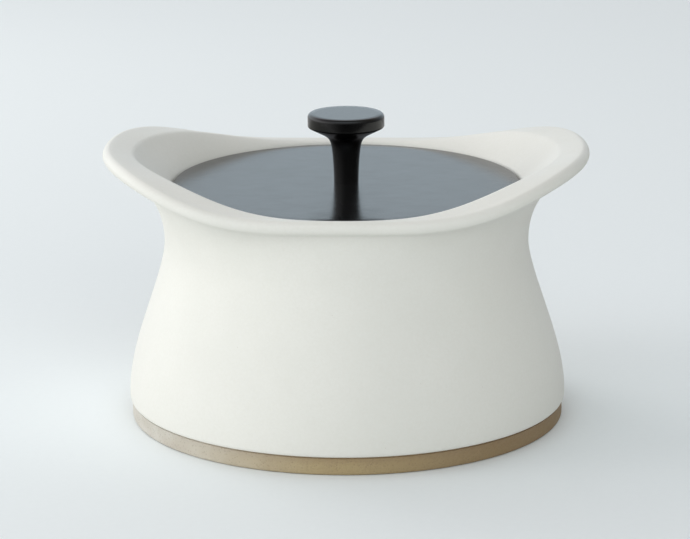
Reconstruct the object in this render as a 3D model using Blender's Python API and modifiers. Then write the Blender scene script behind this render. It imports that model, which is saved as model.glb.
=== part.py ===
"""Lidded stoneware cooking pot: a waisted body with a saddle rim and two rim ears, a flat cast-iron lid
that sits in the throat, and a black knob held to the lid by a screw from below.

Metres, +Z up. The origin is at the centre of the foot, on the surface that the pot stands on.
The ears point along +X and -X. Section profiles are (radius, height) pairs."""

import math

import bmesh
import bpy
from mathutils import Vector
from mathutils.geometry import interpolate_bezier

# Driving dimensions
LID_RADIUS = 0.100
LID_TOP = 0.1371
LID_THICKNESS = 0.005
FOOT_RADIUS = 0.1258
FOOT_HEIGHT = 0.0103
BELLY_RADIUS = 0.1272
BELLY_HEIGHT = 0.014
WAIST_RADIUS = 0.1053
WAIST_HEIGHT = 0.104
WALL = 0.0088
TOUCH_GAP = 0.0003

# Rim: the lip is a round bead, and the inner edge is where the flange turns down into the throat.
# Each is given at the front of the pot and at the middle of an ear.
LIP_BEAD = 0.004
LIP_RADIUS_FRONT = 0.108
LIP_RADIUS_EAR = 0.136
LIP_HEIGHT_FRONT = 0.1353
LIP_HEIGHT_EAR = 0.1551
INNER_RADIUS_FRONT = 0.1045
INNER_RADIUS_EAR = 0.1226
INNER_HEIGHT_FRONT = 0.1388
INNER_HEIGHT_EAR = 0.1558
NECK_RISE_FRONT = 0.018
NECK_RISE_EAR = 0.026
NECK_REACH_FRONT = 0.0034
NECK_REACH_EAR = 0.016

# How squarely the lip's outline turns to the ears, and how late the lip and the inner edge rise to them
LIP_SHOULDER = 3.3
LIP_LIFT = 2.44
INNER_LIFT = 1.85

# Seat for the lid, and the inside of the pot
LID_SIDE_GAP = 0.0016
SEAT_HEIGHT = LID_TOP - LID_THICKNESS - TOUCH_GAP
SEAT_INNER_RADIUS = 0.093
FLOOR_THICKNESS = 0.0105
FOOT_RECESS = 0.003
FOOT_RECESS_RADIUS = 0.101

# Knob. The stem's swell is a point (radius, height above the lid) between its foot and its neck.
KNOB_TOP = 0.1771
KNOB_DISC_RADIUS = 0.0221
KNOB_DISC_SIDE = 0.0060
KNOB_EDGE_ROUND = 0.0022
KNOB_LOWER_ROUND = 0.0012
KNOB_STEM_RADIUS = 0.0071
KNOB_STEM_SWELL = (0.0074, 0.0083)
KNOB_NECK_RADIUS = 0.0079
KNOB_NECK_DROP = 0.0241

# Fixings under the lid
INSERT_RADIUS = 0.0040
INSERT_LENGTH = 0.014
SCREW_RADIUS = 0.0025
SCREW_LENGTH = 0.0175
SCREW_HEAD_RADIUS = 0.0048
SCREW_HEAD_HEIGHT = 0.003
HEX_SOCKET_RADIUS = 0.0017
HEX_SOCKET_DEPTH = 0.0016
FLAT_WASHER_RADIUS = 0.0070
FLAT_WASHER_THICKNESS = 0.0012
SPRING_WASHER_RADIUS = 0.0046
SPRING_WASHER_THICKNESS = 0.0013
SPRING_WASHER_SLIT = 0.0008
BOSS_RADIUS = 0.013
BOSS_DROP = 0.002

# Facets
POT_STATIONS = 56
LID_STEPS = 56
KNOB_STEPS = 32
FIXING_STEPS = 24


def make_collection(name):
    """A new collection in the scene."""
    collection = bpy.data.collections.new(name)
    bpy.context.scene.collection.children.link(collection)
    return collection


def make_material(name, color, roughness, metallic=0.0):
    """A Principled BSDF material with one colour."""
    material = bpy.data.materials.new(name)
    material.use_nodes = True
    shader = material.node_tree.nodes["Principled BSDF"]
    shader.inputs["Base Color"].default_value = (*color, 1.0)
    shader.inputs["Roughness"].default_value = roughness
    shader.inputs["Metallic"].default_value = metallic
    return material


def mix(front, ear, share):
    """The value between the front's and the ear's."""
    return front + (ear - front) * share


def bezier(start, handle_start, handle_end, end, count):
    """Points along a cubic curve in the (radius, height) plane, both ends included."""
    knots = [Vector((*point, 0.0)) for point in (start, handle_start, handle_end, end)]
    return [(p.x, p.y) for p in interpolate_bezier(*knots, count)]


def arc(centre, radius, first_degrees, last_degrees, count):
    """Points along a circular arc in the (radius, height) plane, both ends included."""
    points = []
    for step in range(count):
        angle = math.radians(mix(first_degrees, last_degrees, step / (count - 1)))
        points.append((centre[0] + radius * math.cos(angle), centre[1] + radius * math.sin(angle)))
    return points


def add_object(name, mesh, collection, material):
    """An object for the mesh, in the collection, smooth except at sharp edges."""
    mesh.materials.append(material)
    mesh.shade_smooth()
    mesh.set_sharp_from_angle(angle=math.radians(35))
    obj = bpy.data.objects.new(name, mesh)
    collection.objects.link(obj)
    return obj


def turn(name, profile, steps, collection, material, closed):
    """A turned piece: the profile runs down its outer side. A closed profile makes a ring."""
    mesh = bpy.data.meshes.new(name)
    edges = [(i, i + 1) for i in range(len(profile) - 1)]
    if closed:
        edges.append((len(profile) - 1, 0))
    mesh.from_pydata([(radius, 0.0, height) for radius, height in profile], edges, [])
    obj = add_object(name, mesh, collection, material)
    screw = obj.modifiers.new("Turn", "SCREW")
    screw.steps = steps
    screw.render_steps = steps
    screw.use_merge_vertices = True
    screw.merge_threshold = 0.00001
    screw.use_smooth_shade = True
    return obj


def add_cut(obj, cutter):
    """Cuts the cutter's shape out of the object."""
    cut = obj.modifiers.new("Cut", "BOOLEAN")
    cut.operation = "DIFFERENCE"
    cut.object = cutter
    cut.solver = "EXACT"


def hide_cutter(obj, collection):
    """Moves the cutter to its own collection, and keeps it out of the render."""
    for owner in list(obj.users_collection):
        owner.objects.unlink(obj)
    collection.objects.link(obj)
    obj.hide_render = True
    obj.display_type = "WIRE"


def ear_share(angle, power):
    """How far the rim's outline has gone from the front's towards the ear's, at this angle from +X."""
    return abs(math.cos(angle)) ** power


def shoulder_share(angle, power):
    """How far the lip's outline has gone from the front's towards the ear's, with square shoulders."""
    return 1 - abs(math.sin(angle)) ** power


def lift_share(angle, power):
    """How far the rim's height has gone from the front's towards the ear's, with a level ear top."""
    return 0.5 - 0.5 * math.cos(math.pi * abs(math.cos(angle)) ** power)


def pot_section(angle):
    """The pot's section at this angle from +X, from the underside's edge out, up, over and in."""
    outer = shoulder_share(angle, LIP_SHOULDER)
    share = ear_share(angle, 2.0)
    lip_radius = mix(LIP_RADIUS_FRONT, LIP_RADIUS_EAR, outer)
    lip_height = mix(LIP_HEIGHT_FRONT, LIP_HEIGHT_EAR, lift_share(angle, LIP_LIFT))
    inner_radius = mix(INNER_RADIUS_FRONT, INNER_RADIUS_EAR, share)
    inner_height = mix(INNER_HEIGHT_FRONT, INNER_HEIGHT_EAR, lift_share(angle, INNER_LIFT))

    foot = [
        (FOOT_RECESS_RADIUS, FOOT_RECESS),
        (FOOT_RECESS_RADIUS + 0.002, 0.0),
        (FOOT_RADIUS - 0.0012, 0.0),
        (FOOT_RADIUS, 0.0012),
        (FOOT_RADIUS, FOOT_HEIGHT),
        (BELLY_RADIUS - 0.0002, FOOT_HEIGHT + 0.001),
    ]
    belly = bezier(
        (BELLY_RADIUS, BELLY_HEIGHT),
        (BELLY_RADIUS, BELLY_HEIGHT + 0.030),
        (WAIST_RADIUS, WAIST_HEIGHT - 0.020),
        (WAIST_RADIUS, WAIST_HEIGHT),
        8,
    )
    lip = arc((lip_radius, lip_height), LIP_BEAD, -70, 95, 7)
    reach = mix(NECK_REACH_FRONT, NECK_REACH_EAR, outer)
    tangent = math.radians(20)
    neck = bezier(
        (WAIST_RADIUS, WAIST_HEIGHT),
        (WAIST_RADIUS, WAIST_HEIGHT + mix(NECK_RISE_FRONT, NECK_RISE_EAR, outer)),
        (lip[0][0] - reach * math.cos(tangent), lip[0][1] - reach * math.sin(tangent)),
        lip[0],
        9,
    )
    throat_radius = LID_RADIUS + LID_SIDE_GAP
    slope = math.radians(mix(14, 45, share))
    run_in = mix(0.0018, 0.010, share)
    scoop = bezier(
        (inner_radius, inner_height),
        (inner_radius - run_in * math.cos(slope), inner_height - run_in * math.sin(slope)),
        (throat_radius, LID_TOP + mix(-0.0006, 0.001, share)),
        (throat_radius, LID_TOP - 0.003),
        6,
    )
    seat = [(throat_radius, SEAT_HEIGHT), (SEAT_INNER_RADIUS + 0.0008, SEAT_HEIGHT)]
    seat.append((SEAT_INNER_RADIUS, SEAT_HEIGHT - 0.0008))
    inside = bezier(
        (SEAT_INNER_RADIUS, SEAT_HEIGHT - 0.004),
        (WAIST_RADIUS - WALL + 0.0005, SEAT_HEIGHT - 0.018),
        (WAIST_RADIUS - WALL, WAIST_HEIGHT + 0.004),
        (WAIST_RADIUS - WALL, WAIST_HEIGHT - 0.008),
        4,
    )
    inside_belly = bezier(
        (WAIST_RADIUS - WALL, WAIST_HEIGHT - 0.008),
        (WAIST_RADIUS - WALL + 0.001, WAIST_HEIGHT - 0.032),
        (BELLY_RADIUS - WALL - 0.001, 0.060),
        (BELLY_RADIUS - WALL, 0.036),
        6,
    )
    floor_level = FOOT_RECESS + FLOOR_THICKNESS
    corner = arc((BELLY_RADIUS - WALL - 0.020, floor_level + 0.020), 0.020, 0, -90, 5)
    wall_in = inside + inside_belly[1:] + corner
    return foot + belly + neck[1:] + lip[1:] + scoop + seat + wall_in


def make_pot_body(collection, material):
    """The pot, lofted round the axis because its rim section changes from the front to the ears."""
    shape = bmesh.new()
    rings = []
    for station in range(POT_STATIONS):
        angle = math.tau * station / POT_STATIONS
        ring = []
        for radius, height in pot_section(angle):
            ring.append(shape.verts.new((radius * math.cos(angle), radius * math.sin(angle), height)))
        rings.append(ring)
    for station in range(POT_STATIONS):
        here = rings[station]
        after = rings[(station + 1) % POT_STATIONS]
        for i in range(len(here) - 1):
            shape.faces.new((here[i], after[i], after[i + 1], here[i + 1]))
    underside = [ring[0] for ring in reversed(rings)]
    floor = [ring[-1] for ring in rings]
    shape.faces.new(underside)
    shape.faces.new(floor)
    bmesh.ops.recalc_face_normals(shape, faces=shape.faces)
    mesh = bpy.data.meshes.new("pot_body")
    shape.to_mesh(mesh)
    shape.free()
    return add_object("pot_body", mesh, collection, material)


def make_lid_plate(collection, material):
    """A flat disc with a small boss under its middle and a hole for the screw."""
    hole = SCREW_RADIUS + 0.0005
    bottom = LID_TOP - LID_THICKNESS
    chamfer = 0.0005
    profile = [
        (hole, LID_TOP),
        (LID_RADIUS - chamfer, LID_TOP),
        (LID_RADIUS, LID_TOP - chamfer),
        (LID_RADIUS, bottom + chamfer),
        (LID_RADIUS - chamfer, bottom),
        (BOSS_RADIUS + BOSS_DROP, bottom),
        (BOSS_RADIUS, bottom - BOSS_DROP),
        (hole, bottom - BOSS_DROP),
    ]
    return turn("lid_plate", profile, LID_STEPS, collection, material, closed=True)


def make_knob(collection, material):
    """A flat-topped disc that flares down into a slim stem, with a bore for its insert."""
    base = LID_TOP + TOUCH_GAP
    side_top = KNOB_TOP - KNOB_EDGE_ROUND
    side_bottom = side_top - KNOB_DISC_SIDE
    neck_height = KNOB_TOP - KNOB_NECK_DROP
    bore = INSERT_RADIUS + TOUCH_GAP
    bore_top = base + INSERT_LENGTH + 0.002
    edge = arc((KNOB_DISC_RADIUS - KNOB_EDGE_ROUND, side_top), KNOB_EDGE_ROUND, 90, 0, 4)
    lower_centre = (KNOB_DISC_RADIUS - KNOB_LOWER_ROUND, side_bottom + KNOB_LOWER_ROUND)
    lower = arc(lower_centre, KNOB_LOWER_ROUND, 0, -60, 3)
    flare = bezier(
        lower[-1],
        (0.0100, side_bottom - 0.0060),
        (KNOB_NECK_RADIUS + 0.0011, neck_height + 0.0113),
        (KNOB_NECK_RADIUS, neck_height),
        8,
    )
    profile = [(0.0, KNOB_TOP)] + edge + lower + flare[1:]
    profile += [(KNOB_STEM_SWELL[0], base + KNOB_STEM_SWELL[1]), (KNOB_STEM_RADIUS, base)]
    profile += [(bore, base), (bore, bore_top), (0.0, bore_top)]
    return turn("knob", profile, KNOB_STEPS, collection, material, closed=False)


def make_knob_insert(collection, material):
    """A brass sleeve moulded into the stem. Its thread is left as a plain bore."""
    low = LID_TOP + TOUCH_GAP
    high = low + INSERT_LENGTH
    bore = SCREW_RADIUS + TOUCH_GAP
    profile = [(bore, high), (INSERT_RADIUS, high), (INSERT_RADIUS, low), (bore, low)]
    return turn("knob_insert", profile, FIXING_STEPS, collection, material, closed=True)


def fixing_levels():
    """Heights of the flat washer's top, the spring washer's top and the screw head's top."""
    flat_top = LID_TOP - LID_THICKNESS - BOSS_DROP - TOUCH_GAP
    spring_top = flat_top - FLAT_WASHER_THICKNESS - TOUCH_GAP
    head_top = spring_top - SPRING_WASHER_THICKNESS - TOUCH_GAP
    return flat_top, spring_top, head_top


def make_flat_washer(collection, material):
    """A plain washer against the lid's boss."""
    top = fixing_levels()[0]
    bottom = top - FLAT_WASHER_THICKNESS
    hole = SCREW_RADIUS + TOUCH_GAP
    profile = [(hole, top), (FLAT_WASHER_RADIUS, top), (FLAT_WASHER_RADIUS, bottom), (hole, bottom)]
    return turn("flat_washer", profile, FIXING_STEPS, collection, material, closed=True)


def make_spring_washer(collection, cutters, material):
    """A split lock washer: a square-section ring with a slanted slit."""
    top = fixing_levels()[1]
    bottom = top - SPRING_WASHER_THICKNESS
    hole = SCREW_RADIUS + TOUCH_GAP
    outer = SPRING_WASHER_RADIUS
    profile = [(hole, top), (outer, top), (outer, bottom), (hole, bottom)]
    washer = turn("spring_washer", profile, FIXING_STEPS, collection, material, closed=True)
    middle = ((hole + outer) / 2, 0.0, (top + bottom) / 2)
    bpy.ops.mesh.primitive_cube_add(size=1.0, location=middle, rotation=(math.radians(25), 0.0, 0.0))
    slit = bpy.context.object
    slit.name = "spring_washer_slit"
    slit.scale = ((outer - hole) * 1.6, SPRING_WASHER_SLIT, SPRING_WASHER_THICKNESS * 3)
    hide_cutter(slit, cutters)
    add_cut(washer, slit)
    return washer


def make_knob_screw(collection, cutters, material):
    """A cap screw from below, with a hexagon socket. Its thread is left plain."""
    head_top = fixing_levels()[2]
    head_bottom = head_top - SCREW_HEAD_HEIGHT
    tip = head_top + SCREW_LENGTH
    chamfer = 0.0006
    profile = [
        (0.0, tip),
        (SCREW_RADIUS - chamfer, tip),
        (SCREW_RADIUS, tip - chamfer),
        (SCREW_RADIUS, head_top),
        (SCREW_HEAD_RADIUS, head_top),
        (SCREW_HEAD_RADIUS, head_bottom + chamfer),
        (SCREW_HEAD_RADIUS - chamfer, head_bottom),
        (0.0, head_bottom),
    ]
    screw = turn("knob_screw", profile, FIXING_STEPS, collection, material, closed=False)
    bpy.ops.mesh.primitive_cylinder_add(
        vertices=6,
        radius=HEX_SOCKET_RADIUS,
        depth=HEX_SOCKET_DEPTH * 2,
        location=(0.0, 0.0, head_bottom),
    )
    socket = bpy.context.object
    socket.name = "knob_screw_socket"
    hide_cutter(socket, cutters)
    add_cut(screw, socket)
    return screw


def main():
    """Builds the pot, and parents the lid's pieces to an empty on the lid's axis."""
    for obj in list(bpy.data.objects):
        bpy.data.objects.remove(obj, do_unlink=True)
    parts = make_collection("cooking_pot")
    cutters = make_collection("cutters")

    stoneware = make_material("stoneware_glaze", (0.80, 0.79, 0.74), 0.55)
    lid_iron = make_material("lid_iron", (0.045, 0.050, 0.055), 0.38, 0.3)
    knob_black = make_material("knob_black", (0.010, 0.010, 0.011), 0.30)
    brass = make_material("brass", (0.70, 0.50, 0.20), 0.35, 1.0)
    screw_steel = make_material("screw_steel", (0.55, 0.55, 0.54), 0.30, 1.0)
    spring_steel = make_material("spring_steel", (0.38, 0.38, 0.38), 0.40, 1.0)
    washer_steel = make_material("washer_steel", (0.50, 0.50, 0.49), 0.35, 1.0)

    make_pot_body(parts, stoneware)
    lid_pieces = [
        make_lid_plate(parts, lid_iron),
        make_knob(parts, knob_black),
        make_knob_insert(parts, brass),
        make_knob_screw(parts, cutters, screw_steel),
        make_spring_washer(parts, cutters, spring_steel),
        make_flat_washer(parts, washer_steel),
    ]
    lid_axis = bpy.data.objects.new("lid_axis", None)
    parts.objects.link(lid_axis)
    for piece in lid_pieces:
        piece.parent = lid_axis


main()
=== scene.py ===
"""Lidded stoneware cooking pot: its finished surfaces, materials, lights and camera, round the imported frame.

Metres, +Z up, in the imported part's own frame. The pot's ears point along +X and -X. A section is a list of
(radius, height) points in a plane that holds the axis, and runs from the underside out, up, over and in."""
import math

import bmesh
import bpy
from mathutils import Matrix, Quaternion, Vector, noise
from mathutils.geometry import interpolate_bezier


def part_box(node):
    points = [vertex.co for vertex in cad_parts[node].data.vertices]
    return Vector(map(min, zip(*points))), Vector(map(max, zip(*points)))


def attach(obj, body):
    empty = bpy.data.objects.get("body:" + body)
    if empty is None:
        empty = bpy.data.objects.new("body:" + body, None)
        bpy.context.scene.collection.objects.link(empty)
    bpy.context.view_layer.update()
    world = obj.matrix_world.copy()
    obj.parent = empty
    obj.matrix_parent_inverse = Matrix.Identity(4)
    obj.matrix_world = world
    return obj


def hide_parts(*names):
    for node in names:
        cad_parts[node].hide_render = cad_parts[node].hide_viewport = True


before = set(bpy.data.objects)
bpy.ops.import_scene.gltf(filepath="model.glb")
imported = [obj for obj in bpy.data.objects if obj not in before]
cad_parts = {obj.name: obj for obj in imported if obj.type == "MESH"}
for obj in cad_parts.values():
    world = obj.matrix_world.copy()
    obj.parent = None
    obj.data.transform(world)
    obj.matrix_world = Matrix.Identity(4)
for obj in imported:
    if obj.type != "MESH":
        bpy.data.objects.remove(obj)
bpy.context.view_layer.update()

# Sizes read from the frame
POT_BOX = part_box("pot_body")
LID_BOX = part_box("lid_plate")
KNOB_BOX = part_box("knob")
INSERT_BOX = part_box("knob_insert")
SCREW_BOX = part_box("knob_screw")
SPRING_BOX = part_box("spring_washer")
FLAT_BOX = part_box("flat_washer")
LID_RADIUS = LID_BOX[1].x
LID_TOP = LID_BOX[1].z

# Foot, belly and waist
FOOT_RADIUS = 0.1258
FOOT_HEIGHT = 0.0103
FOOT_EDGE = 0.0012
COVE = 0.0009
FOOT_RING_INNER = 0.103
RECESS_RADIUS = 0.101
RECESS_HEIGHT = 0.003
RECESS_DOME = 0.0004
RECESS_GROOVES = 15
GROOVE_POINTS = 5
GROOVE_DEPTH = 0.00012
BELLY_RADIUS = POT_BOX[1].y
BELLY_HEIGHT = 0.014
WAIST_RADIUS = 0.1053
WAIST_HEIGHT = 0.104
WALL = 0.0088
FLOOR_THICKNESS = 0.0105
INSIDE_CORNER = 0.020

# Rim. The lip is a round bead over this arc, in degrees. Each pair below it is for the front and for the
# middle of an ear. The scoop's foot and end are heights over the lid's top, and its slope is in degrees.
LIP_BEAD = 0.004
LIP_ARC = (-70, 95)
LIP_RADIUS = (0.108, 0.136)
LIP_HEIGHT = (0.1353, 0.1551)
INNER_RADIUS = (0.1045, 0.1226)
INNER_HEIGHT = (0.1388, 0.1558)
NECK_RISE = (0.018, 0.026)
NECK_REACH = (0.0034, 0.016)
SCOOP_SLOPE = (14, 45)
SCOOP_RUN = (0.0018, 0.010)
SCOOP_FOOT = (0.0008, 0.001)
SCOOP_END = (-0.0012, -0.003)
INNER_EDGE_ROUND = (0.0009, 0.0018)

# Powers that shape the rim between the front and the ears: how square the lip's shoulder is, how the inner
# edge widens, and how late the lip and the inner edge rise
LIP_SHOULDER = 3.3
INNER_OUTLINE = 2.0
LIP_LIFT = 2.44
INNER_LIFT = 1.85

# Seat for the lid, whose depth is the lid's thickness and a gap
LID_SIDE_GAP = 0.0012
SEAT_DEPTH = 0.0053
THROAT_RADIUS = LID_RADIUS + LID_SIDE_GAP
SEAT_HEIGHT = LID_TOP - SEAT_DEPTH
SEAT_INNER_RADIUS = 0.093
SEAT_ROUND = 0.0012
SEAT_NOSE = 0.004

# How far the clay wall strays from a true form, over what distance, and where that fades out, near the
# throat and over the foot
UNEVEN_DEPTH = 0.00022
UNEVEN_LENGTH = 0.055
UNEVEN_FADE = (0.004, 0.02)
UNEVEN_SQUASH = 1.3

# Lid and knob. The knob's edge is an arc of KNOB_ARRIS degrees, which meets the flat top in an arris.
LID_THICKNESS = 0.005
LID_EDGE_ROUND = 0.0011
LID_HOLE = 0.003
LID_HOLE_BREAK = 0.0003
BOSS_RADIUS = 0.013
BOSS_FLARE = 0.0012
BOSS_FILLET = 0.0016
KNOB_GAP = 0.00005
KNOB_TOP = KNOB_BOX[1].z
KNOB_RADIUS = KNOB_BOX[1].x
KNOB_SIDE = 0.0060
KNOB_EDGE_ROUND = 0.0024
KNOB_ARRIS = 68
KNOB_LOWER_ROUND = 0.0012
KNOB_STEM_RADIUS = 0.0071
KNOB_NECK_RADIUS = 0.0079
KNOB_NECK_DROP = 0.0241
KNOB_BORE = 0.0043
KNOB_BORE_DEPTH = 0.016

# Fixings, with an M5 thread. A knurl is a number of ridges and their depth.
THREAD_RADIUS = 0.0025
THREAD_PITCH = 0.0008
THREAD_DEPTH = 0.00049
THREAD_FLAT = 0.1
THREAD_GAP = 0.00008
THREAD_POINTS = 8
HOLE_GAP = 0.0003
SCREW_HEAD_HEIGHT = 0.003
SCREW_KNURL = (36, 0.00006)
INSERT_KNURL = (24, 0.00012)
INSERT_GROOVE = 0.0006
HEX_ACROSS_FLATS = 0.0030
HEX_DEPTH = 0.0016
SPRING_ROUND = 0.00015
FLAT_ROUND = 0.00025
SLIT_WIDTH = 0.0008
SLIT_SLANT = 25

# Mesh density round the axis, and the bend above which an edge stays sharp, in degrees
POT_STATIONS = 240
LID_STATIONS = 192
KNOB_STATIONS = 128
FIXING_STATIONS = 72
SHARP_BEND = 35

# The photograph's view: a long lens, a little to the pot's right and above its rim. The camera's place is
# found from the pivot, and it looks at the aim.
CAMERA_PIVOT = (-0.001, 0.0, 0.060)
CAMERA_AIM = (-0.001, 0.0, 0.0842)
CAMERA_DISTANCE = 1.811
CAMERA_AZIMUTH = 1.3
CAMERA_ELEVATION = 15.39
CAMERA_ROLL = -0.28
CAMERA_LENS = 161.74
CAMERA_SENSOR = 36.0

# Soft lights that don't reflect: a window behind the pot on the left, light from its left side, and a fill
WINDOW = {"azimuth": -135, "elevation": 30, "distance": 1.8, "size": (0.8, 0.8), "power": 5.2}
SIDE = {"azimuth": -80, "elevation": 12, "distance": 2.4, "size": (1.0, 1.0), "power": 12.1}
FILL = {"azimuth": 14, "elevation": 22, "distance": 3.2, "size": (1.5, 1.2), "power": 21.6}

# The studio's brightness by direction: low down near the horizon, high up, and below the horizon
BACK, LEFT, RIGHT, FRONT, ABOVE = ("Y", 1), ("X", -1), ("X", 1), ("Y", -1), ("Z", 1)
STUDIO_LOW = {
    BACK: (0.81, 0.94, 1.03),
    LEFT: (1.50, 1.50, 1.50),
    RIGHT: (0.25, 0.25, 0.25),
    FRONT: (0.35, 0.35, 0.35),
}
STUDIO_HIGH = {
    BACK: (1.84, 1.81, 1.88),
    LEFT: (1.00, 0.92, 0.99),
    RIGHT: (0.25, 0.19, 0.11),
    FRONT: (1.93, 2.18, 2.35),
    ABOVE: (0.30, 0.30, 0.30),
}
STUDIO_BELOW = {
    BACK: (0.60, 0.60, 0.60),
    LEFT: (0.80, 0.80, 0.80),
    RIGHT: (0.20, 0.20, 0.20),
    FRONT: (0.06, 0.06, 0.06),
}

# Where those fade into each other: low into high by elevation in degrees, and below into low by the
# height of the direction's unit vector
STUDIO_LOW_TOP = (25, 40)
STUDIO_HORIZON = (-0.02, 0.0)

# The studio's floor, just under the foot
FLOOR_RADIUS = 9.0
FLOOR_DROP = 0.0002

# A Mix node's sockets for the two values it blends, and for the result
MIX_SOCKETS = {"RGBA": (6, 7, 2), "VECTOR": (4, 5, 1)}


def mix(pair, share):
    """The value this share of the way through the pair, such as from the front's to the ear's."""
    return pair[0] + (pair[1] - pair[0]) * share


def clamp(value):
    """The value, kept from 0 to 1."""
    return min(1.0, max(0.0, value))


def bezier(start, handle_start, handle_end, end, count):
    """Points along a cubic curve in the section's plane, both ends included."""
    knots = [Vector((*point, 0.0)) for point in (start, handle_start, handle_end, end)]
    return [(p.x, p.y) for p in interpolate_bezier(*knots, count)]


def arc(centre, radius, first_degrees, last_degrees, count):
    """Points along a circular arc in the section's plane, both ends included."""
    points = []
    for step in range(count):
        angle = math.radians(mix((first_degrees, last_degrees), step / (count - 1)))
        points.append((centre[0] + radius * math.cos(angle), centre[1] + radius * math.sin(angle)))
    return points


def straight(start, end, count):
    """Points along a line, both ends included."""
    return [(mix((start[0], end[0]), i / (count - 1)), mix((start[1], end[1]), i / (count - 1)))
            for i in range(count)]


def rounded(before, corner, after, reach, count):
    """Points that turn the corner in a smooth bend, which starts and ends at reach from it."""
    corner = Vector(corner)
    start = corner + (Vector(before) - corner).normalized() * reach
    end = corner + (Vector(after) - corner).normalized() * reach
    return bezier(start, start.lerp(corner, 0.6), end.lerp(corner, 0.6), end, count)


def joined(*runs):
    """The runs one after the other, with a point that two of them share kept once."""
    points = []
    for run in runs:
        for point in run:
            if not points or (Vector(point) - Vector(points[-1])).length > 1e-7:
                points.append(point)
    return points


# Pot


def ear_share(angle, power):
    """How far the rim's outline has gone from the front's towards the ear's, at this angle from +X."""
    return abs(math.cos(angle)) ** power


def shoulder_share(angle, power):
    """How far the lip's outline has gone from the front's towards the ear's, with square shoulders."""
    return 1 - abs(math.sin(angle)) ** power


def lift_share(angle, power):
    """How far the rim's height has gone from the front's towards the ear's, with a level ear top."""
    return 0.5 - 0.5 * math.cos(math.pi * abs(math.cos(angle)) ** power)


def clay_section():
    """The bare clay: the recess under the pot with its turning marks, the foot ring and the foot's side."""
    recess = []
    steps = RECESS_GROOVES * GROOVE_POINTS
    for step in range(steps + 1):
        radius = (RECESS_RADIUS - 0.0015) * step / steps
        groove = 0.5 - 0.5 * math.cos(math.tau * RECESS_GROOVES * step / steps)
        dome = RECESS_DOME * (1 - (radius / RECESS_RADIUS) ** 2)
        recess.append((radius, RECESS_HEIGHT + dome + GROOVE_DEPTH * groove))
    step_down = rounded((RECESS_RADIUS - 0.004, RECESS_HEIGHT), (RECESS_RADIUS, RECESS_HEIGHT),
                        (FOOT_RING_INNER, 0.0), 0.0014, 5)
    ring = joined(
        rounded((RECESS_RADIUS, RECESS_HEIGHT), (FOOT_RING_INNER, 0.0), (FOOT_RADIUS, 0.0), 0.0010, 5),
        straight((FOOT_RING_INNER + 0.0010, 0.0), (FOOT_RADIUS - FOOT_EDGE, 0.0), 6),
    )
    edge = arc((FOOT_RADIUS - FOOT_EDGE, FOOT_EDGE), FOOT_EDGE, -90, 0, 6)
    side = straight((FOOT_RADIUS, FOOT_EDGE), (FOOT_RADIUS, FOOT_HEIGHT - COVE), 5)
    cove = arc((FOOT_RADIUS, FOOT_HEIGHT), COVE, 270, 180, 6)
    return joined(recess, step_down, ring, edge, side, cove)


def rim_section(angle):
    """The glazed outside and rim: glaze edge, belly, neck, lip bead, flange top and scoop to the throat."""
    outer = shoulder_share(angle, LIP_SHOULDER)
    share = ear_share(angle, INNER_OUTLINE)
    lip_centre = (mix(LIP_RADIUS, outer), mix(LIP_HEIGHT, lift_share(angle, LIP_LIFT)))
    inner = (mix(INNER_RADIUS, share), mix(INNER_HEIGHT, lift_share(angle, INNER_LIFT)))

    glaze_edge = bezier(
        (FOOT_RADIUS - COVE + 0.0002, FOOT_HEIGHT + 0.0001),
        (FOOT_RADIUS + 0.0012, FOOT_HEIGHT - 0.0003),
        (BELLY_RADIUS, FOOT_HEIGHT + 0.0008),
        (BELLY_RADIUS, BELLY_HEIGHT),
        10,
    )
    belly = bezier(
        (BELLY_RADIUS, BELLY_HEIGHT),
        (BELLY_RADIUS, BELLY_HEIGHT + 0.030),
        (WAIST_RADIUS, WAIST_HEIGHT - 0.020),
        (WAIST_RADIUS, WAIST_HEIGHT),
        32,
    )
    lip = arc(lip_centre, LIP_BEAD, *LIP_ARC, 20)

    # The neck meets the lip along the bead's tangent
    tangent = math.radians(90 + LIP_ARC[0])
    reach = mix(NECK_REACH, outer)
    neck = bezier(
        (WAIST_RADIUS, WAIST_HEIGHT),
        (WAIST_RADIUS, WAIST_HEIGHT + mix(NECK_RISE, outer)),
        (lip[0][0] - reach * math.cos(tangent), lip[0][1] - reach * math.sin(tangent)),
        lip[0],
        32,
    )
    slope = math.radians(mix(SCOOP_SLOPE, share))
    run_in = mix(SCOOP_RUN, share)
    handle = (inner[0] - run_in * math.cos(slope), inner[1] - run_in * math.sin(slope))
    bend = mix(INNER_EDGE_ROUND, share)
    edge = rounded(lip[-1], inner, handle, bend, 9)
    scoop = bezier(edge[-1], handle, (THROAT_RADIUS, LID_TOP + mix(SCOOP_FOOT, share)),
                   (THROAT_RADIUS, LID_TOP + mix(SCOOP_END, share)), 20)
    return joined(glaze_edge, belly, neck, lip, straight(lip[-1], edge[0], 5), edge, scoop)


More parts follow.
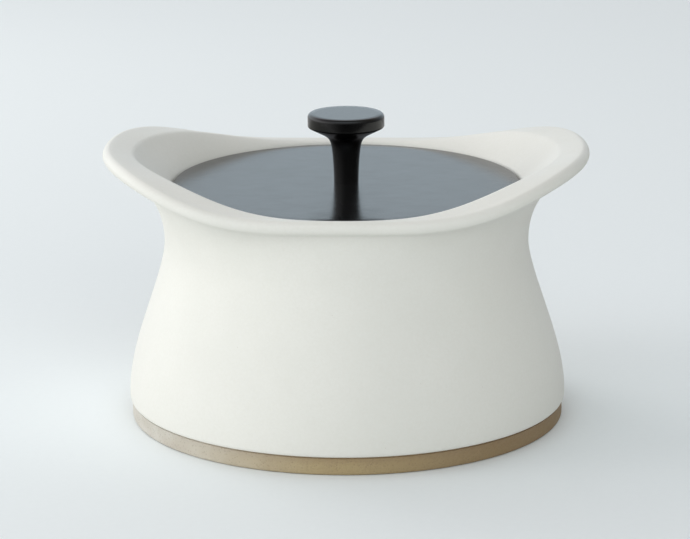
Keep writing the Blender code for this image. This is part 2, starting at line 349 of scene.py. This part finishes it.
def inside_section():
    """The glazed throat, the seat that the lid rests on, the inside wall and the floor."""
    seat_outer = (THROAT_RADIUS, SEAT_HEIGHT)
    seat_inner = (SEAT_INNER_RADIUS, SEAT_HEIGHT)
    seat_under = (SEAT_INNER_RADIUS, SEAT_HEIGHT - SEAT_NOSE)
    throat = rounded((THROAT_RADIUS, LID_TOP), seat_outer, seat_inner, SEAT_ROUND, 6)
    nose = rounded(seat_outer, seat_inner, seat_under, SEAT_ROUND, 7)
    narrow = WAIST_RADIUS - WALL
    wide = BELLY_RADIUS - WALL
    inside_waist = (narrow, WAIST_HEIGHT - 0.008)
    under_seat = bezier(seat_under, (narrow + 0.0005, SEAT_HEIGHT - 0.018),
                        (narrow, WAIST_HEIGHT + 0.004), inside_waist, 14)
    wall = bezier(inside_waist, (narrow + 0.001, WAIST_HEIGHT - 0.032),
                  (wide - 0.001, 0.060), (wide, 0.036), 18)
    floor_height = RECESS_HEIGHT + FLOOR_THICKNESS
    corner = arc((wide - INSIDE_CORNER, floor_height + INSIDE_CORNER), INSIDE_CORNER, 0, -90, 12)
    floor = straight((wide - INSIDE_CORNER, floor_height), (0.0, floor_height), 12)
    return joined(throat, nose, under_seat, wall, corner, floor)


def strayed(radius, height, angle):
    """The radius with a hand-finished wall's slow unevenness, which fades out at the foot and the throat."""
    from_throat = clamp((radius - THROAT_RADIUS) / UNEVEN_FADE[0])
    from_foot = clamp((height - FOOT_HEIGHT) / UNEVEN_FADE[1])
    spot = Vector((radius * math.cos(angle), radius * math.sin(angle), height * UNEVEN_SQUASH))
    return radius + from_throat * from_foot * UNEVEN_DEPTH * noise.noise(spot / UNEVEN_LENGTH)


# Lid and knob


def lid_section():
    """A flat cast disc with round edges, and a boss with a fillet round the screw's hole."""
    bottom = LID_TOP - LID_THICKNESS
    boss = LID_BOX[0].z
    edge = LID_EDGE_ROUND
    wide = LID_RADIUS - edge
    boss_root = (BOSS_RADIUS + BOSS_FLARE, bottom)
    underside = joined(
        [(LID_HOLE, boss + LID_HOLE_BREAK), (LID_HOLE + LID_HOLE_BREAK, boss)],
        rounded((LID_HOLE, boss), (BOSS_RADIUS, boss), boss_root, 0.0008, 5),
        rounded((BOSS_RADIUS, boss), boss_root, (LID_RADIUS, bottom), BOSS_FILLET, 6),
        straight((BOSS_RADIUS + 0.004, bottom), (wide, bottom), 12),
    )
    rim = joined(arc((wide, bottom + edge), edge, -90, 0, 7), arc((wide, LID_TOP - edge), edge, 0, 90, 9))
    top = straight((wide, LID_TOP), (LID_HOLE + LID_HOLE_BREAK, LID_TOP), 16)
    hole = straight((LID_HOLE, LID_TOP - LID_HOLE_BREAK), (LID_HOLE, boss + LID_HOLE_BREAK), 4)
    return joined(underside, rim, top, hole)[:-1]


def knob_section():
    """A disc that flares down into a slim stem. The flat top meets its round edge in a crisp arris."""
    base = LID_TOP + KNOB_GAP
    side_top = KNOB_TOP - KNOB_EDGE_ROUND * math.sin(math.radians(KNOB_ARRIS))
    side_bottom = side_top - KNOB_SIDE
    neck = KNOB_TOP - KNOB_NECK_DROP
    stem = bezier((KNOB_STEM_RADIUS, base), (KNOB_STEM_RADIUS + 0.0001, base + 0.0054),
                  (KNOB_NECK_RADIUS - 0.00045, neck - 0.0045), (KNOB_NECK_RADIUS, neck), 14)
    lower = arc((KNOB_RADIUS - KNOB_LOWER_ROUND, side_bottom + KNOB_LOWER_ROUND), KNOB_LOWER_ROUND, -60, 0, 7)
    flare = bezier((KNOB_NECK_RADIUS, neck), (KNOB_NECK_RADIUS + 0.0011, neck + 0.0113),
                   (0.0100, side_bottom - 0.0060), lower[0], 28)
    edge = arc((KNOB_RADIUS - KNOB_EDGE_ROUND, side_top), KNOB_EDGE_ROUND, 0, KNOB_ARRIS, 12)
    top = straight(edge[-1], (0.0, KNOB_TOP), 8)
    bore_top = base + KNOB_BORE_DEPTH
    bore = joined(straight((0.0, bore_top), (KNOB_BORE, bore_top), 4),
                  straight((KNOB_BORE, bore_top), (KNOB_BORE, base), 6))
    return joined(bore, stem, flare, lower, edge, top)


# Fixings


def thread_radius(height, angle):
    """The screw's radius at a point of its right-hand thread, with narrow flats on crest and root."""
    turns = height / THREAD_PITCH - angle / math.tau
    saw = abs(2 * (turns - math.floor(turns)) - 1)
    return THREAD_RADIUS - THREAD_DEPTH * clamp((saw - THREAD_FLAT) / (1 - 2 * THREAD_FLAT))


def thread_points(start, length, angle, gap=0.0):
    """Points along the thread from the start height, up by the length, or down where it is negative."""
    levels = int(abs(length) / THREAD_PITCH * THREAD_POINTS)
    points = []
    for level in range(levels + 1):
        height = start + length * level / levels
        points.append((thread_radius(height, angle) + gap, height))
    return points


def hex_radius(angle):
    """The radius of the screw's hexagon socket at this angle."""
    to_flat = (angle + math.pi / 6) % (math.pi / 3) - math.pi / 6
    return HEX_ACROSS_FLATS / 2 / math.cos(to_flat)


def screw_section(angle):
    """A cap screw: hexagon socket, round head with a knurl, and a threaded shank with a blunt tip."""
    low, high = SCREW_BOX[0].z, SCREW_BOX[1].z
    head = SCREW_BOX[1].x
    head_top = low + SCREW_HEAD_HEIGHT
    socket = hex_radius(angle)
    socket_end = low + HEX_DEPTH
    ridges, ridge_depth = SCREW_KNURL
    side = head - 0.0001 + ridge_depth * math.cos(ridges * angle)
    points = [(0.0, socket_end + 0.0004), (socket * 0.96, socket_end), (socket, socket_end - 0.0001)]
    points += [(socket, low + 0.0002), (socket + 0.0002, low)]
    points += rounded((0.0, low), (head, low), (head, head_top), 0.0005, 6)
    points += [(side, low + 0.0008), (side, head_top - 0.0004)]
    points += rounded((head, low), (head, head_top), (0.0, head_top), 0.00015, 3)
    points += [(THREAD_RADIUS + 0.0002, head_top), (THREAD_RADIUS, head_top + 0.0002)]
    points += thread_points(head_top + 0.0004, high - head_top - 0.0010, angle)
    points += [(THREAD_RADIUS - THREAD_DEPTH, high - 0.0003), (THREAD_RADIUS - 0.0008, high), (0.0, high)]
    return points


def insert_section(angle):
    """A threaded sleeve with a knurl and a groove round its outside that key it into the knob."""
    low, high = INSERT_BOX[0].z, INSERT_BOX[1].z
    outer = INSERT_BOX[1].x
    ridges, ridge_depth = INSERT_KNURL
    knurl = ridge_depth * (0.5 + 0.5 * math.cos(ridges * angle))
    points = [(outer - 0.0004, low), (outer - 0.0001, low + 0.0003)]
    for share in (0.10, 0.15, 0.43, 0.46, 0.54, 0.57, 0.85, 0.90):
        cut = INSERT_GROOVE if 0.45 < share < 0.55 else 0.0
        ridged = knurl if 0.12 < share < 0.45 or 0.55 < share < 0.88 else 0.0
        points.append((outer - cut - ridged, mix((low, high), share)))
    points += [(outer - 0.0001, high - 0.0003), (outer - 0.0004, high), (THREAD_RADIUS + 0.0004, high)]
    points += thread_points(high - 0.0003, -(high - low - 0.0006), angle, THREAD_GAP)
    points.append((THREAD_RADIUS + 0.0004, low))
    return points


def washer_section(box, hole, edge):
    """A washer's section: a flat ring with rounded stamped edges."""
    low, high, outer = box[0].z, box[1].z, box[1].x
    square = [(hole, low), (outer, low), (outer, high), (hole, high)]
    points = []
    for i, corner in enumerate(square):
        points += rounded(square[i - 1], corner, square[(i + 1) % 4], edge, 4)
    return points


# Meshes


def finish_mesh(shape, name, looks):
    """An object for the bmesh, smooth except at sharp edges."""
    bmesh.ops.recalc_face_normals(shape, faces=shape.faces)
    mesh = bpy.data.meshes.new(name)
    shape.to_mesh(mesh)
    shape.free()
    for look in looks:
        mesh.materials.append(look)
    mesh.shade_smooth()
    mesh.set_sharp_from_angle(angle=math.radians(SHARP_BEND))
    obj = bpy.data.objects.new(name, mesh)
    bpy.context.scene.collection.objects.link(obj)
    return obj


def loft(name, section, stations, looks, ring=False, second_look_points=0):
    """A closed piece from the section at each angle round the axis. A ring's section closes on itself, and
    any other starts and ends on the axis. Faces between its first second_look_points take the second look."""
    shape = bmesh.new()
    rows = []
    for station in range(stations):
        angle = math.tau * station / stations
        points = section(angle)
        inner = points if ring else points[1:-1]
        rows.append([shape.verts.new((r * math.cos(angle), r * math.sin(angle), z)) for r, z in inner])
    count = len(rows[0])
    for station in range(stations):
        here, after = rows[station], rows[(station + 1) % stations]
        for i in range(count if ring else count - 1):
            j = (i + 1) % count
            face = shape.faces.new((here[i], after[i], after[j], here[j]))
            face.material_index = 1 if i + 1 < second_look_points else 0
    if not ring:
        for end, height in ((0, points[0][1]), (-1, points[-1][1])):
            pole = shape.verts.new((0.0, 0.0, height))
            for station in range(stations):
                face = shape.faces.new((pole, rows[station][end], rows[(station + 1) % stations][end]))
                face.material_index = 1 if end == 0 and second_look_points else 0
    return finish_mesh(shape, name, looks)


def make_pot(looks):
    """The pot: one closed skin with bare clay below the glaze edge."""
    clay = clay_section()
    inside = inside_section()

    def section(angle):
        """The whole section at this angle, from the middle of the underside to the middle of the floor."""
        outside = [(strayed(r, z, angle), z) for r, z in rim_section(angle)]
        return joined(clay, outside, inside)

    return loft("stoneware_pot", section, POT_STATIONS, looks, second_look_points=len(clay))


def make_split_washer(look):
    """A split washer: its section swept nearly all the way round, with a slanted slit."""
    hole = THREAD_RADIUS + HOLE_GAP
    section = washer_section(SPRING_BOX, hole, SPRING_ROUND)
    middle = (SPRING_BOX[0].z + SPRING_BOX[1].z) / 2
    mean_radius = (hole + SPRING_BOX[1].x) / 2
    half_slit = SLIT_WIDTH / 2 / mean_radius
    shape = bmesh.new()
    rows = []
    for station in range(FIXING_STATIONS + 1):
        row = []
        for radius, height in section:
            slant = (height - middle) * math.tan(math.radians(SLIT_SLANT)) / mean_radius
            angle = slant + mix((half_slit, math.tau - half_slit), station / FIXING_STATIONS)
            row.append(shape.verts.new((radius * math.cos(angle), radius * math.sin(angle), height)))
        rows.append(row)
    for here, after in zip(rows, rows[1:]):
        for i in range(len(section)):
            j = (i + 1) % len(section)
            shape.faces.new((here[i], after[i], after[j], here[j]))
    shape.faces.new(rows[0])
    shape.faces.new(list(reversed(rows[-1])))
    return finish_mesh(shape, "split_washer", [look])


# Looks


class Look:
    """A Principled material, and short ways to add the textures that drive it."""

    def __init__(self, name, **values):
        """A new material with these values on its shader's sockets, whose names have _ for each space."""
        self.material = bpy.data.materials.new(name)
        self.material.use_nodes = True
        self.tree = self.material.node_tree
        self.shader = self.tree.nodes["Principled BSDF"]
        for socket, value in values.items():
            self.shader.inputs[socket.replace("_", " ")].default_value = value
        self.place = self.tree.nodes.new("ShaderNodeTexCoord").outputs["Object"]

    def add(self, kind, links, **values):
        """A node with these values, and with links from other nodes' outputs to its inputs."""
        node = self.tree.nodes.new(kind)
        for setting, value in values.items():
            setattr(node, setting, value)
        for socket, source in links.items():
            if isinstance(source, bpy.types.NodeSocket):
                self.tree.links.new(source, node.inputs[socket])
            else:
                node.inputs[socket].default_value = source
        return node

    def noise(self, size, detail=2.0, roughness=0.5):
        """A cloudy pattern whose blotches are about this size across, in metres."""
        links = {"Vector": self.place, "Scale": 1 / size, "Detail": detail, "Roughness": roughness}
        return self.add("ShaderNodeTexNoise", links).outputs["Fac"]

    def grains(self, size):
        """Distance from the nearest of many scattered points, which are about this far apart."""
        links = {"Vector": self.place, "Scale": 1 / size}
        return self.add("ShaderNodeTexVoronoi", links).outputs["Distance"]

    def axis(self, name):
        """The place along the X, Y or Z axis."""
        return self.add("ShaderNodeSeparateXYZ", {"Vector": self.place}).outputs[name]

    def rings(self, spacing):
        """Concentric turning marks about the Z axis."""
        links = {"Vector": self.place, "Scale": 1 / (spacing * math.tau), "Distortion": 0.6, "Detail": 3.0,
                 "Detail Scale": 1.5}
        return self.add("ShaderNodeTexWave", links, wave_type="RINGS", rings_direction="Z").outputs["Fac"]

    def span(self, source, out, within=(0.3, 0.7)):
        """The source's range within, spread over the range out."""
        links = {"Value": source, "From Min": within[0], "From Max": within[1]}
        links.update({"To Min": out[0], "To Max": out[1]})
        return self.add("ShaderNodeMapRange", links).outputs["Result"]

    def fade(self, source, start, end):
        """A smooth step from 0 to 1, as the source goes from start to end."""
        links = {"Value": source, "From Min": start, "From Max": end}
        return self.add("ShaderNodeMapRange", links, interpolation_type="SMOOTHSTEP").outputs["Result"]

    def blend(self, share, first, second):
        """A colour between two, by share."""
        node = self.add("ShaderNodeMix", {}, data_type="RGBA")
        start, end, result = MIX_SOCKETS["RGBA"]
        self.tree.links.new(share, node.inputs[0])
        for socket, source in ((node.inputs[start], first), (node.inputs[end], second)):
            if isinstance(source, bpy.types.NodeSocket):
                self.tree.links.new(source, socket)
            else:
                socket.default_value = (*source, 1.0)
        return node.outputs[result]

    def color(self, source):
        """Drives the base colour."""
        self.tree.links.new(source, self.shader.inputs["Base Color"])

    def roughness(self, source, out):
        """Drives the roughness, over the range out."""
        self.tree.links.new(self.span(source, out), self.shader.inputs["Roughness"])

    def relief(self, *layers):
        """Small surface relief: each layer is a pattern and its depth in metres."""
        normal = None
        for pattern, depth in layers:
            links = {"Height": pattern, "Distance": depth, "Strength": 1.0}
            if normal is not None:
                links["Normal"] = normal
            normal = self.add("ShaderNodeBump", links).outputs["Normal"]
        self.tree.links.new(normal, self.shader.inputs["Normal"])


def glaze_look():
    """Satin off-white glaze: slow clouding, a fine eggshell skin and a few faint iron specks."""
    look = Look("glaze_white", IOR=1.5)
    clouds = look.span(look.noise(0.045, 3.0), (0.0, 1.0))
    grain = look.span(look.noise(0.0016, 2.0), (0.0, 0.35))
    body = look.blend(clouds, (0.800, 0.792, 0.735), (0.775, 0.770, 0.712))
    body = look.blend(grain, body, (0.740, 0.728, 0.660))
    specks = look.span(look.grains(0.011), (0.30, 0.0), (0.015, 0.035))
    look.color(look.blend(specks, body, (0.42, 0.36, 0.28)))
    look.roughness(look.noise(0.020, 3.0), (0.44, 0.56))
    look.relief((look.noise(0.012, 2.0), 0.00025), (look.noise(0.0014, 3.0), 0.00006))
    return look.material


def clay_look():
    """Bare sandy clay with light and shade painted into its colour: paler on the lit left, browner on the
    shaded right, and darker under the glaze edge, partly a toasted line and partly painted shade from the
    overhang.
    """
    look = Look("clay_tan", IOR=1.5)
    across, height = look.axis("X"), look.axis("Z")
    sand = look.span(look.noise(0.0011, 3.0, 0.7), (0.0, 0.25), (0.0, 1.0))
    grog = look.grains(0.0016)
    # Painted shade: the tan turns darker and browner towards the right, the side away from the light
    body = look.blend(look.fade(across, -0.015, 0.105), (0.410, 0.315, 0.155), (0.255, 0.168, 0.076))
    # Darker just under the glaze edge: partly a toasted line, partly painted shade from the glaze overhang
    toast_and_overhang_shade = look.span(height, (0.0, 0.6), (FOOT_HEIGHT - 0.0050, FOOT_HEIGHT - 0.0005))
    body = look.blend(toast_and_overhang_shade, body, (0.240, 0.150, 0.080))
    # Painted light: paler and greyer towards the lit left
    body = look.blend(look.fade(across, 0.000, -0.130), body, (0.640, 0.632, 0.585))
    body = look.blend(look.span(look.noise(0.018, 4.0), (0.0, 0.3)), body, (0.300, 0.220, 0.130))
    body = look.blend(sand, body, (0.480, 0.380, 0.250))
    look.color(look.blend(look.span(grog, (0.40, 0.0), (0.10, 0.30)), body, (0.20, 0.14, 0.09)))
    look.roughness(look.noise(0.003, 2.0), (0.60, 0.75))
    look.relief((look.noise(0.0011, 3.0, 0.7), 0.00025), (grog, 0.00020))
    return look.material


def lid_look():
    """Cast iron under a satin charcoal coating: an even fine-grained skin, a little uneven in its gloss."""
    look = Look("lid_charcoal", IOR=1.6)
    clouds = look.span(look.noise(0.030, 3.0), (0.0, 1.0))
    look.color(look.blend(clouds, (0.0012, 0.0012, 0.0014), (0.0020, 0.0020, 0.0022)))
    look.roughness(look.noise(0.012, 4.0), (0.15, 0.20))
    look.relief((look.noise(0.0080, 2.0), 0.00005), (look.noise(0.0007, 3.0, 0.6), 0.00002))
    return look.material


def knob_look():
    """Satin black moulding with a very fine spark texture."""
    look = Look("knob_black", IOR=1.5)
    clouds = look.span(look.noise(0.006, 3.0), (0.0, 1.0))
    look.color(look.blend(clouds, (0.0008, 0.0008, 0.0009), (0.0012, 0.0012, 0.0013)))
    look.roughness(look.noise(0.004, 4.0), (0.13, 0.18))
    look.relief((look.noise(0.0004, 2.0), 0.00001))
    return look.material


def metal_look(name, bright, dull, roughness, spacing):
    """Turned or rolled metal: tool rings of this spacing, light tarnish and uneven polish."""
    look = Look(name, Metallic=1.0)
    tarnish = look.span(look.noise(0.0025, 4.0), (0.0, 1.0))
    look.color(look.blend(tarnish, bright, dull))
    look.roughness(look.noise(0.0008, 4.0), roughness)
    look.relief((look.rings(spacing), 0.000006), (look.noise(0.0005, 2.0), 0.000008))
    return look.material


def floor_look():
    """Pale studio paper with a barely visible tooth."""
    look = Look("studio_paper", IOR=1.45)
    tooth = look.span(look.noise(0.004, 3.0), (0.0, 1.0))
    look.color(look.blend(tooth, (0.860, 0.895, 0.893), (0.850, 0.885, 0.884)))
    look.roughness(look.noise(0.05, 2.0), (0.85, 0.95))
    return look.material


# Setting


def make_floor():
    """A wide round floor that the pot stands on."""
    shape = bmesh.new()
    bmesh.ops.create_circle(shape, cap_ends=True, radius=FLOOR_RADIUS, segments=96)
    floor = finish_mesh(shape, "studio_floor", [floor_look()])
    floor.location.z = -FLOOR_DROP
    floor.visible_glossy = False


def direction(azimuth, elevation):
    """A unit vector from the pot towards a place round it. Azimuth 0 is the front, and 90 is +X."""
    side, up = math.radians(azimuth), math.radians(elevation)
    return Vector((math.sin(side) * math.cos(up), -math.cos(side) * math.cos(up), math.sin(up)))


def aimed(obj, location, target, roll_degrees=0.0):
    """Puts a light or camera at the location, looking at the target."""
    obj.location = location
    turn = (Vector(target) - Vector(location)).to_track_quat("-Z", "Y")
    obj.rotation_euler = (turn @ Quaternion((0, 0, 1), math.radians(roll_degrees))).to_euler()
    bpy.context.scene.collection.objects.link(obj)


def make_light(name, azimuth, elevation, distance, size, power):
    """A rectangular soft light that faces the pot, and doesn't show in its gloss."""
    light = bpy.data.lights.new(name, "AREA")
    light.shape = "RECTANGLE"
    light.size, light.size_y = size
    light.energy = power
    obj = bpy.data.objects.new(name, light)
    obj.visible_glossy = False
    aimed(obj, Vector(CAMERA_AIM) + distance * direction(azimuth, elevation), CAMERA_AIM)


def make_studio():
    """The light that comes from the studio's walls and ceiling, which the lid and the glaze also reflect."""
    world = bpy.data.worlds.new("studio")
    world.use_nodes = True
    tree = world.node_tree

    def add(kind, operation, *sources):
        """The output of a maths node that works on the sources, which are outputs or plain values."""
        node = tree.nodes.new(kind)
        node.operation = operation
        for socket, source in zip(node.inputs, sources):
            if isinstance(source, bpy.types.NodeSocket):
                tree.links.new(source, socket)
            else:
                socket.default_value = source
        return node.outputs[0]

    def parts(vector):
        """The vector's X, Y and Z."""
        node = tree.nodes.new("ShaderNodeSeparateXYZ")
        tree.links.new(vector, node.inputs["Vector"])
        return node.outputs

    def glow(vector, colors):
        """The colours, each by how far the vector points its way."""
        total = None
        for (axis, sign), color in colors.items():
            facing = add("ShaderNodeMath", "MULTIPLY", parts(vector)[axis], float(sign))
            facing = add("ShaderNodeMath", "MAXIMUM", facing, 0.0)
            share = add("ShaderNodeMath", "MULTIPLY", facing, facing)
            part = tree.nodes.new("ShaderNodeVectorMath")
            part.operation = "SCALE"
            part.inputs["Vector"].default_value = color
            tree.links.new(share, part.inputs["Scale"])
            lit = part.outputs[0]
            total = lit if total is None else add("ShaderNodeVectorMath", "ADD", total, lit)
        return total

    def ramp(source, start, end):
        """A smooth step from 0 to 1, as the source goes from start to end."""
        node = tree.nodes.new("ShaderNodeMapRange")
        node.interpolation_type = "SMOOTHSTEP"
        tree.links.new(source, node.inputs["Value"])
        node.inputs["From Min"].default_value = start
        node.inputs["From Max"].default_value = end
        return node.outputs["Result"]

    def blend(share, first, second):
        """A colour between two, by share."""
        node = tree.nodes.new("ShaderNodeMix")
        node.data_type = "VECTOR"
        start, end, result = MIX_SOCKETS["VECTOR"]
        for socket, source in ((0, share), (start, first), (end, second)):
            tree.links.new(source, node.inputs[socket])
        return node.outputs[result]

    towards = tree.nodes.new("ShaderNodeTexCoord").outputs["Generated"]
    level = add("ShaderNodeVectorMath", "MULTIPLY", towards, (1.0, 1.0, 0.0))
    level = add("ShaderNodeVectorMath", "NORMALIZE", level)
    rise = parts(towards)["Z"]
    band = [math.sin(math.radians(degrees)) for degrees in STUDIO_LOW_TOP]
    walls = blend(ramp(rise, *STUDIO_HORIZON), glow(level, STUDIO_BELOW), glow(level, STUDIO_LOW))
    light = blend(ramp(rise, *band), walls, glow(towards, STUDIO_HIGH))
    tree.links.new(light, tree.nodes["Background"].inputs["Color"])
    bpy.context.scene.world = world


def make_camera():
    """The camera at the photograph's angle, with no shift and no depth of field."""
    data = bpy.data.cameras.new("camera")
    data.lens = CAMERA_LENS
    data.sensor_width = CAMERA_SENSOR
    camera = bpy.data.objects.new("camera", data)
    location = Vector(CAMERA_PIVOT) + CAMERA_DISTANCE * direction(CAMERA_AZIMUTH, CAMERA_ELEVATION)
    aimed(camera, location, CAMERA_AIM, CAMERA_ROLL)
    bpy.context.scene.camera = camera


def stand_in(piece, body, node):
    """Puts the piece on its body, in the CAD node's stead."""
    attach(piece, body)
    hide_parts(node)


def main():
    """Builds every piece, then the setting."""
    brass = metal_look("brass", (0.80, 0.58, 0.27), (0.66, 0.45, 0.19), (0.25, 0.40), 0.0002)
    stainless = metal_look("stainless_steel", (0.62, 0.62, 0.60), (0.50, 0.50, 0.48), (0.22, 0.36), 0.0002)
    spring = metal_look("spring_steel", (0.42, 0.42, 0.42), (0.32, 0.32, 0.33), (0.30, 0.46), 0.0003)
    rolled = metal_look("rolled_steel", (0.56, 0.56, 0.54), (0.46, 0.46, 0.45), (0.28, 0.42), 0.0005)

    stand_in(make_pot([glaze_look(), clay_look()]), "pot", "pot_body")
    lid = loft("iron_lid", lambda angle: lid_section(), LID_STATIONS, [lid_look()], ring=True)
    stand_in(lid, "lid", "lid_plate")
    knob = loft("black_knob", lambda angle: knob_section(), KNOB_STATIONS, [knob_look()])
    stand_in(knob, "lid", "knob")
    insert = loft("threaded_insert", insert_section, FIXING_STATIONS, [brass], ring=True)
    stand_in(insert, "lid", "knob_insert")
    screw = loft("cap_screw", screw_section, FIXING_STATIONS, [stainless])
    stand_in(screw, "lid", "knob_screw")
    stand_in(make_split_washer(spring), "lid", "spring_washer")
    flat = washer_section(FLAT_BOX, THREAD_RADIUS + HOLE_GAP, FLAT_ROUND)
    washer = loft("plain_washer", lambda angle: flat, FIXING_STATIONS, [rolled], ring=True)
    stand_in(washer, "lid", "flat_washer")

    make_floor()
    make_light("window", **WINDOW)
    make_light("side", **SIDE)
    make_light("fill", **FILL)
    make_studio()
    make_camera()
    bpy.context.scene.view_settings.view_transform = "Standard"


main()
